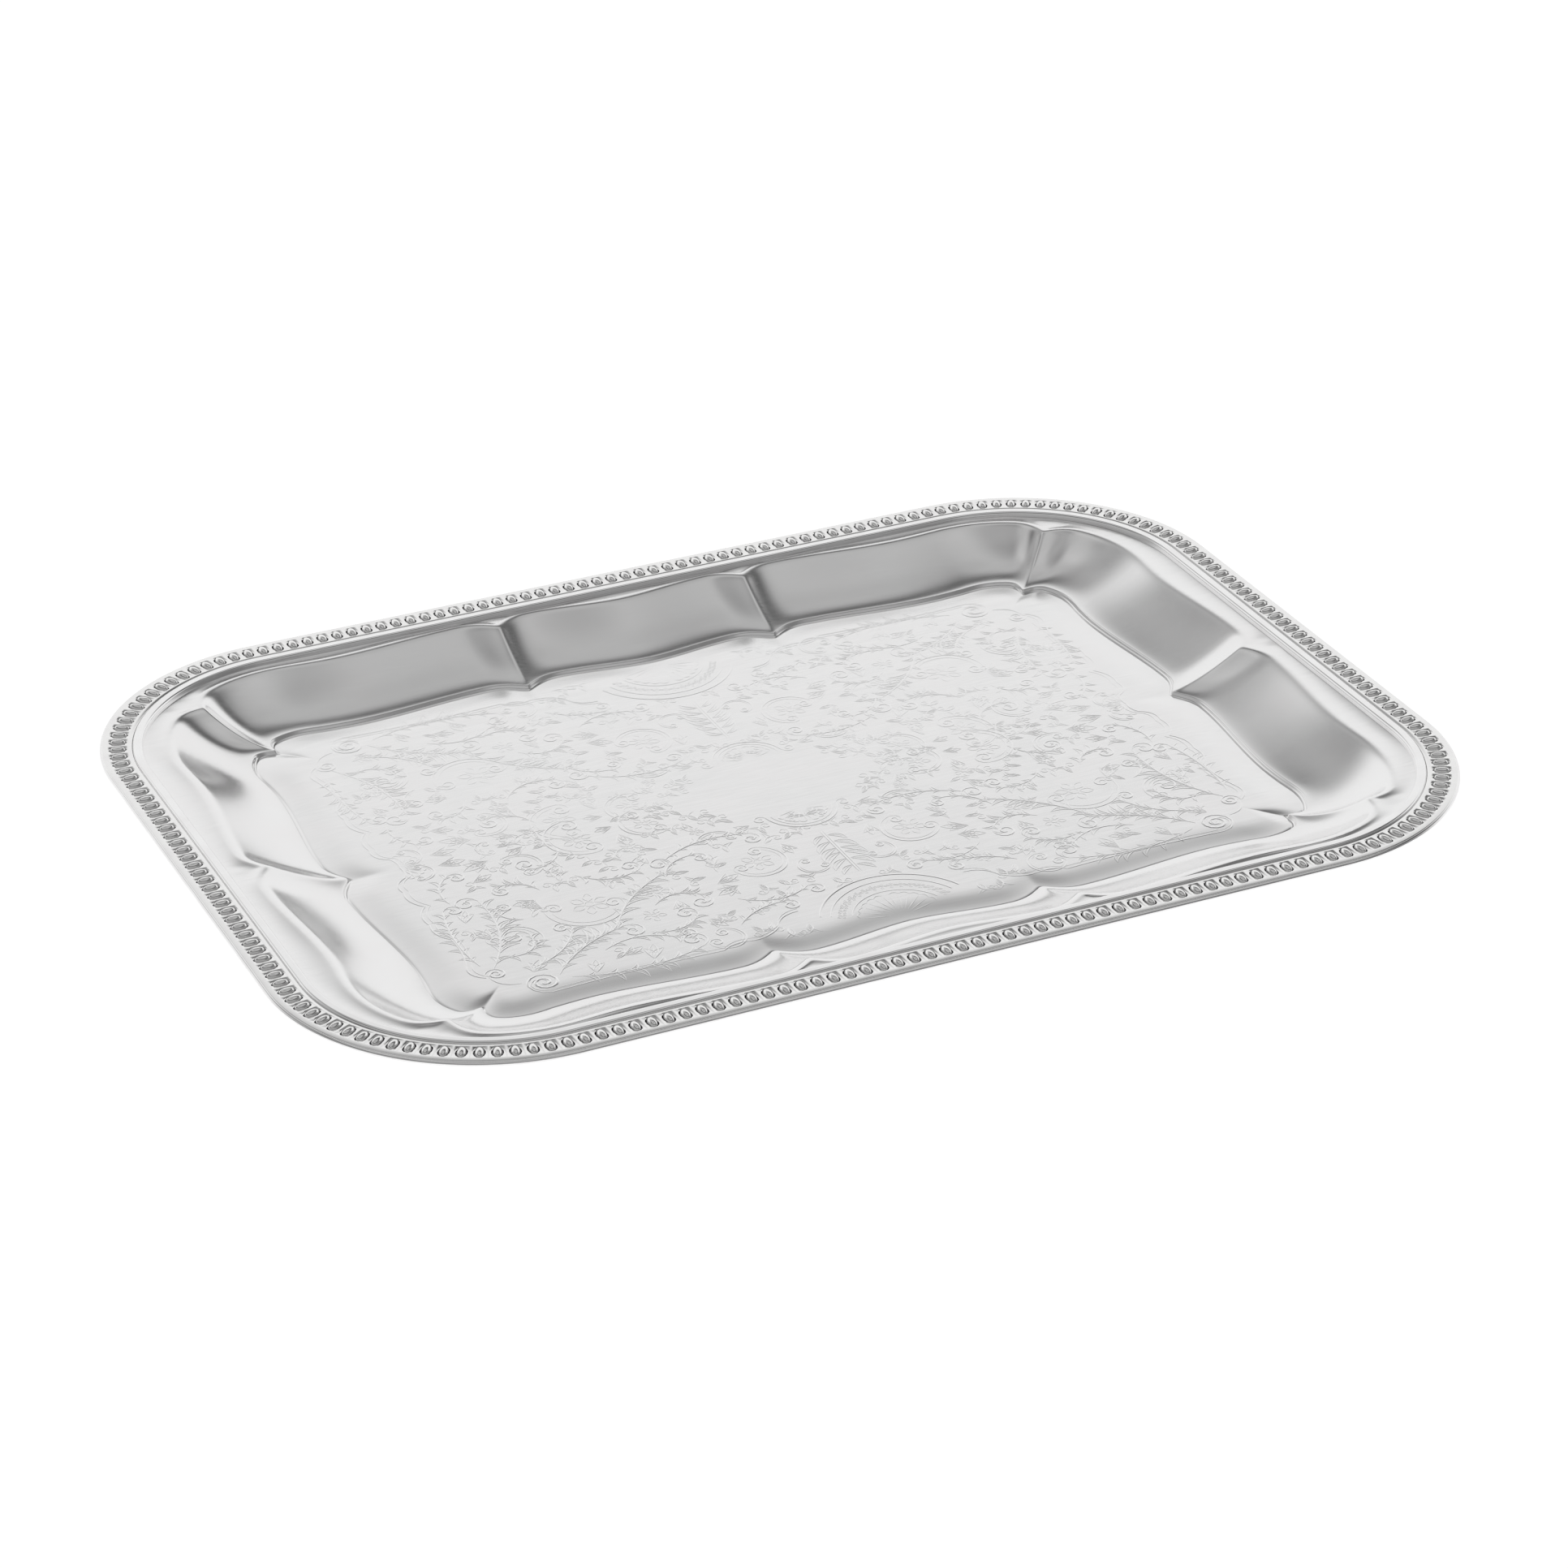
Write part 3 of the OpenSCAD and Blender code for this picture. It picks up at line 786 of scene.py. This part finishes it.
# %% A quarter of the pattern
# the double border line, from the arch on the long side to the middle of the short side
BORDER = (((30, 84), (40, 91), -0.18), ((40, 91), (52, 95), 0.12), ((52, 95), (62, 97), -0.12),
          ((62, 97), (121, 97), -0.015), ((137, 80), (140, 70), 0.2), ((140, 70), (138, 52), -0.05),
          ((138, 52), (141, 40), 0.14), ((141, 40), (138, 28), 0.14), ((138, 28), (141, 16), 0.14),
          ((141, 16), (137, 7), 0.2), ((137, 7), (136, 0), -0.1))
for start, end, bulge in BORDER:
    stroke(arc(start, end, bulge), 0.8, 0.8)
    inside = [(x * 0.986, y - 1.6 if y > 80 else y) for x, y in (start, end)]
    stroke(arc(inside[0], inside[1], bulge), 0.5, 0.8)
# the corner: two curls back to back
stroke(curl((121, 97), radians(2), -1, 6.6, 2.3), 1.2)
stroke(curl((122, 95.6), radians(2), -1, 4.9, 1.2), 0.7)
stroke(curl((137, 80), radians(285), -1, 3.9, 1.9), 1.0)
stroke(arc((128, 88), (136, 80), 0.2), 0.8)
sprig((122, 83), 235, 8, 5, 30, 0.6)
VINES = (  # start, end, bulge, side of the curl, curl, leaf, leaves
    ((115, 88), (84, 68), 0.09, -1, 4.6, 12, 7), ((112, 91), (66, 91), -0.1, 1, 5.2, 9, 7),
    ((96, 80), (70, 84), 0.2, 1, 3.4, 7, 4), ((88, 71), (56, 40), 0.1, 1, 5.0, 10, 7),
    ((133, 76), (121, 32), -0.1, 1, 4.6, 11, 8), ((136, 72), (134, 34), 0.06, -1, 3.6, 8, 7),
    ((128, 70), (114, 60), -0.34, 1, 5.2, 7, 5), ((120, 80), (100, 62), -0.12, 1, 3.6, 9, 5),
    ((78, 76), (60, 72), -0.2, 1, 4.2, 7, 5), ((70, 60), (52, 62), 0.28, -1, 4.4, 7, 5),
    ((50, 84), (30, 76), 0.12, -1, 3.4, 6, 5), ((60, 46), (44, 34), 0.2, -1, 3.0, 6, 4),
    ((56, 34), (22, 29), 0.14, -1, 3.8, 6, 6), ((44, 68), (20, 70), -0.2, -1, 3.6, 6, 5),
    ((86, 30), (66, 36), -0.2, 1, 4.0, 7, 5), ((100, 34), (112, 26), -0.2, 1, 3.6, 7, 4),
    ((84, 10), (98, 20), 0.2, -1, 4.0, 7, 4), ((130, 30), (124, 12), 0.16, -1, 3.4, 6, 4),
    ((112, 50), (118, 40), 0.2, -1, 3.0, 6, 3))
for start, end, bulge, side, radius, length, leaves in VINES:
    vine(start, end, bulge, side, radius, length, leaves)
# the bowl scroll with its flower, and its neighbours on both sides of the plain middle
C_SCROLLS = (  # middle, radius, from and to angle, end curl
    ((91, 50), 13.5, -10, 165, 3.6), ((28, 48), 10, 20, 250, 3.0), ((74, 6), 12.5, -80, 95, 4.0),
    ((50, 6), 9.5, -62, 110, 3.0), ((12, 58), 5.5, -60, 150, 1.8), ((132, 6), 5.5, 90, 250, 1.6))
for centre, radius, first, last, end_radius in C_SCROLLS:
    c_scroll(centre, radius, first, last, end_radius)
FLOWERS = ((89, 50, 6.5, 6), (28, 48, 5.6, 6), (76, 8, 5.5, 6), (51, 7, 4.4, 5), (66, 52, 4.6, 5),
           (73, 66, 4.0, 5), (41, 78, 3.2, 5), (104, 76, 3.4, 5), (62, 20, 4.0, 5), (38, 20, 2.6, 5))
for x, y, radius, petals in FLOWERS:
    flower((x, y), radius, petals)
SPRIGS = (  # x, y, towards in degrees, length, leaves
    (76, 48, 150, 7, 3), (62, 60, 80, 6, 3), (104, 92, 250, 6, 3), (84, 92, 250, 7, 3),
    (92, 86, 200, 6, 3), (46, 56, 200, 7, 3), (42, 44, 260, 6, 3), (40, 60, 20, 7, 5),
    (58, 76, 120, 6, 3), (16, 40, 100, 6, 3), (104, 46, 300, 7, 3), (104, 40, 0, 6, 3),
    (62, 10, 90, 6, 3), (62, 4, 10, 5, 3), (60, 26, 60, 7, 3), (88, 20, 60, 7, 3), (40, 12, 90, 5, 3),
    (108, 8, 20, 8, 5), (118, 20, 200, 6, 3), (100, 70, 150, 6, 3), (126, 58, 290, 7, 3),
    (130, 44, 250, 6, 3), (66, 78, 40, 5, 3), (124, 4, 180, 7, 3), (94, 4, 30, 6, 3))
SPRIG_GROWTH = 1.35
for x, y, toward, length, lobes in SPRIGS:
    sprig((x, y), toward, length * SPRIG_GROWTH, lobes, 26, 0.6)
# four more open scrolls, over the corner's stems and along the plain middle
MORE_SCROLLS = (((120, 62), 9.5, 150, 330, 3.0), ((34, 30), 7.5, 200, 330, 2.2),
                ((58, 90), 6.5, 20, 260, 2.6), ((100, 16), 8.0, 110, 300, 2.6))
for centre, radius, first, last, end_radius in MORE_SCROLLS:
    c_scroll(centre, radius, first, last, end_radius)
# the arch, the shell inside it, the fern above it, and the small shell by the plain middle
for radius, width in ((27, 1.0), (23.5, 0.7), (16.5, 0.6)):
    stroke(ring((0, 101), radius, 270, 338, 6), width, 0.9)
for a in range(275, 340, 9):
    flower((20 * cos(radians(a)), 101 + 20 * sin(radians(a))), 1.7, 4, 0.4)
shell((0, 101), 14, 275, 345, 5)
half_fern([(0.5, 38 + 1.6 * i) for i in range(20)], 6, 9, 48)
for radius, width in ((13, 0.8), (11.2, 0.5)):
    stroke(ring((0, 20), radius, 8, 90, 9), width, 0.9)
shell((0, 20), 9, 15, 84, 4)
stroke(curl((12.9, 21.8), radians(278), 1, 2.6, 1.3), 0.7)
sprig((20, 24), 20, 7, 3)
shell((136, 0), 8, 90, 174, 5)

# %% [markdown]
# Such a pattern leaves little bare ground, so a shoot with a leaf goes wherever there is room for
# one. It points away from the corner if it is near it, and away from the inner flower elsewhere.

# %% Shoots in the gaps
GAP, ROOM = 6.8, 2.7
PLAIN_HALF_LENGTH, PLAIN_HALF_WIDTH = 37, 19
taken = [point for line in strokes for point in line[::2]]


def is_bare(x, y):
    in_middle = (x / PLAIN_HALF_LENGTH) ** 2 + (y / PLAIN_HALF_WIDTH) ** 2 < 1.0
    past_border = x > 133 - 0.5 * max(y - 70, 0) or y > 93 or (x < 28 and y > 72)
    if in_middle or past_border:
        return False
    return all((x - a) ** 2 + (y - b) ** 2 > ROOM ** 2 for a, b, width in taken)


count = 0
for row in range(17):
    for column in range(23):
        x, y = GAP * (column + 0.5 * (row % 2)), GAP * 0.9 * row + 1
        if not is_bare(x, y):
            continue
        count += 1
        away = atan2(y - 92, x - 128) if x > 60 else atan2(y - 48, x - 28)
        turn = away / pi * 180 + 40 * sin(1.7 * x + 0.9 * y)
        tendril((x, y), radians(turn), 6.5, 1 if count % 2 else -1)
print("gaps filled:", count)
print("strokes in a quarter:", len(strokes), "points:", sum(map(len, strokes)))

# %% [markdown]
# Each stroke becomes a curve, and Curve to Mesh sweeps one shallow section along it, scaled by the
# width kept at each point, so a stroke swells and thins as a chased line does. First a ray is cast
# down from each point to the sheet, so that the relief lies on the floor where the floor dips.

# %% Relief swept along the strokes
RELIEF = 0.07


def stroke_net(sx, sy):
    """The strokes of one quarter of the floor, as loose edges with a width at each point."""
    points, edges, widths = [], [], []
    for line in strokes:
        first = len(points)
        points += [Vector((sx * x, sy * y, 0)) * MM for x, y, width in line]
        widths += [width for x, y, width in line]
        edges += [(first + i, first + i + 1) for i in range(len(line) - 1)]
    mesh = bpy.data.meshes.new("strokes")
    mesh.from_pydata(points, edges, [])
    mesh.attributes.new("width", "FLOAT", "POINT").data.foreach_set("value", widths)
    return mesh


relief_sizes = {"Height": RELIEF * MM, "Sunk": 0.15 * MM, "Unit Width": 1.0 * MM}


def relief_tree(finish):
    tree, size, end = shape_tree("relief", relief_sizes)
    size = size.outputs
    floor_piece = add(tree, "GeometryNodeObjectInfo", None, {"Object": sheet})
    spot = add(tree, "GeometryNodeInputPosition")
    above = add(tree, VECTOR, "ADD", [spot, (0, 0, 0.02)])
    ray = add(tree, "GeometryNodeRaycast", None,
              {"Target Geometry": floor_piece.outputs["Geometry"], "Source Position": above,
               "Ray Direction": (0, 0, -1), "Ray Length": 0.05})
    laid = add(tree, SET_POSITION, None,
               {"Geometry": size["Geometry"], "Position": ray.outputs["Hit Position"]})
    lines = add(tree, "GeometryNodeMeshToCurve", None, {"Mesh": laid})
    upright = add(tree, "GeometryNodeSetCurveNormal", {"mode": "Z_UP"}, {"Curve": lines})
    width = add(tree, "GeometryNodeInputNamedAttribute", NUMBER, ["width"])
    ring = add(tree, "GeometryNodeCurvePrimitiveCircle", None, {"Resolution": 6, "Radius": 0.5})
    part = add(tree, "ShaderNodeSeparateXYZ", None, [add(tree, "GeometryNodeInputPosition")]).outputs
    top = add(tree, MATH, "MULTIPLY", [add(tree, MATH, "MULTIPLY", [size["Height"], 2.0]),
                                       add(tree, MATH, "MINIMUM", [part["Y"], 0.0])])
    under = add(tree, MATH, "MULTIPLY", [add(tree, MATH, "MULTIPLY", [size["Sunk"], 2.0]),
                                         add(tree, MATH, "MAXIMUM", [part["Y"], 0.0])])
    section = add(tree, SET_POSITION, None, {"Geometry": ring, "Position": add(tree, COMBINE, None, {
                      "X": add(tree, MATH, "MULTIPLY", [part["X"], size["Unit Width"]]),
                      "Y": add(tree, MATH, "ADD", [top, under])})})
    swept = add(tree, "GeometryNodeCurveToMesh", None,
                {"Curve": upright, "Profile Curve": section, "Fill Caps": True, "Scale": width})
    soft = add(tree, "GeometryNodeSetShadeSmooth", None, [swept])
    close_tree(tree, soft, finish, end)
    return tree


scroll_tree = relief_tree(satin_silver)
# How each quarter is mirrored, and its share of the relief's height. A die would give all four one
# height. The shares were set for how strongly the lines should show from the front.
QUARTERS = (("back_right", 1, 1, 0.6), ("back_left", -1, 1, 0.6),
            ("front_left", -1, -1, 1.3), ("front_right", 1, -1, 0.9))
for place, sx, sy, height_share in QUARTERS:
    name = "scrollwork_" + place
    sizes = {**relief_sizes, "Height": RELIEF * height_share * MM}
    scrollwork = shaped(name, stroke_net(sx, sy), scroll_tree, sizes)
    scrollwork.data.set_sharp_from_angle(angle=radians(80))
    turn_outward(scrollwork.data)
    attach(scrollwork, "root")
    print(name, len(scrollwork.data.polygons), "faces, heights",
          [round(scrollwork.bound_box[i][2] / MM, 2) for i in (0, 6)])

# %% [markdown]
# The floor of the view is a plain white paper sweep. Most of its brightness is a glow of its own,
# so that it comes out nearly white with only a trace of shadow under the tray.

# %% White paper floor
REACH = 40.0
ground = bpy.data.meshes.new("ground")
corners = [(x * REACH, y * REACH, -0.0003) for x, y in ((-1, -1), (1, -1), (1, 1), (-1, 1))]
ground.from_pydata(corners, [], [(0, 1, 2, 3)])
shown("ground", ground)
paper = bpy.data.materials.new("white_paper_sweep")
paper.use_nodes = True
tree = paper.node_tree
tree.nodes.clear()
glow = add(tree, "ShaderNodeEmission", None, {"Color": linear("#FFFFFF"), "Strength": 0.9})
dull = add(tree, "ShaderNodeBsdfDiffuse", None, {"Color": linear("#A0A0A0")})
add(tree, "ShaderNodeOutputMaterial", None, [add(tree, "ShaderNodeAddShader", None, [glow, dull])])
ground.materials.append(paper)

# %% [markdown]
# Polished silver shows the room more than it shows itself, so the room is lit like a studio tent:
# one wide bright wall low at the back right, a dimmer grey ceiling with a dark gap between them,
# and a dim camera side with a darker nook at the front right. The world's nodes work that out from
# the direction a ray leaves in: its height, and how far it points towards the bright wall.
# Everything changes softly, so every edge on the tray is the tray's own. The levels were tuned for
# the front view. The white backdrop is for camera rays only and the silver never reflects it, so
# from other sides the silver looks greyer.

# %% Room
world = bpy.data.worlds.new("room")
bpy.context.scene.world = world
world.use_nodes = True
tree = world.node_tree
tree.nodes.clear()
BRIGHT_WALL, DIM_SIDE, CEILING, DARK_NOOK, BACKDROP = 0.92, 0.42, 0.5, 0.2, 0.93
GAP_DEPTH, GAP_SHALLOW, ZENITH = 0.12, 0.38, 0.36
WALL_TURN, NOOK_TURN, SHALLOW_TURN = radians(62), radians(-40), radians(105)
# the heights between which one band fades into the next, from degrees above the horizon
WALL_FADE, CEILING_FADE, ZENITH_FADE = ([sin(radians(a)) for a in pair]
                                        for pair in ((27.5, 40), (44, 58), (68, 84)))
toward = add(tree, "ShaderNodeTexCoord").outputs["Generated"]
rise = add(tree, "ShaderNodeSeparateXYZ", None, [toward]).outputs["Z"]
low_share = add(tree, MAP_RANGE, SMOOTH,
                {"Value": rise, "From Min": WALL_FADE[0], "From Max": WALL_FADE[1],
                 "To Min": 1.0, "To Max": 0.0})
shallow_facing = add(tree, VECTOR, "DOT_PRODUCT", [toward, (cos(SHALLOW_TURN), sin(SHALLOW_TURN), 0)])
gap = add(tree, MAP_RANGE, SMOOTH,
          {"Value": shallow_facing.outputs["Value"], "From Min": 0.55, "From Max": 0.7,
           "To Min": GAP_DEPTH, "To Max": GAP_SHALLOW})
overhead = add(tree, MAP_RANGE, SMOOTH,
               {"Value": rise, "From Min": ZENITH_FADE[0], "From Max": ZENITH_FADE[1],
                "To Min": CEILING, "To Max": ZENITH})
high = add(tree, MAP_RANGE, SMOOTH,
           {"Value": rise, "From Min": CEILING_FADE[0], "From Max": CEILING_FADE[1],
            "To Min": gap, "To Max": overhead})
clutter = add(tree, "ShaderNodeTexNoise", None, {"Vector": toward, "Scale": 2.4, "Detail": 1.0})
uneven = add(tree, MAP_RANGE, None, {"Value": clutter.outputs["Fac"], "From Min": 0.3, "From Max": 0.7,
              "To Min": 0.8, "To Max": 1.18})
high = add(tree, MATH, "MULTIPLY", [high, uneven])
wall_facing = add(tree, VECTOR, "DOT_PRODUCT", [toward, (cos(WALL_TURN), sin(WALL_TURN), 0)])
wall_share = add(tree, MAP_RANGE, SMOOTH,
                 {"Value": wall_facing.outputs["Value"], "From Min": 0.05, "From Max": 0.5})
nook_facing = add(tree, VECTOR, "DOT_PRODUCT", [toward, (cos(NOOK_TURN), sin(NOOK_TURN), 0)])
nook_share = add(tree, MAP_RANGE, SMOOTH,
                 {"Value": nook_facing.outputs["Value"], "From Min": 0.7, "From Max": 0.97})
side = add(tree, "ShaderNodeMix", NUMBER, {0: wall_share, 2: DIM_SIDE, 3: BRIGHT_WALL})
nooked = add(tree, "ShaderNodeMix", NUMBER, {0: nook_share, 2: side, 3: DARK_NOOK})
level = add(tree, "ShaderNodeMix", NUMBER, {0: low_share, 2: high, 3: nooked})
seen = add(tree, "ShaderNodeMix", NUMBER,
           {0: add(tree, "ShaderNodeLightPath").outputs["Is Camera Ray"], 2: level, 3: BACKDROP})
sky = add(tree, "ShaderNodeBackground", None, {"Color": linear("#FFFFFF"), "Strength": seen})
add(tree, "ShaderNodeOutputWorld", None, [sky])
bpy.context.scene.view_settings.view_transform = "Standard"
print("room: bright wall", BRIGHT_WALL, "ceiling", CEILING, "dim side", DIM_SIDE)
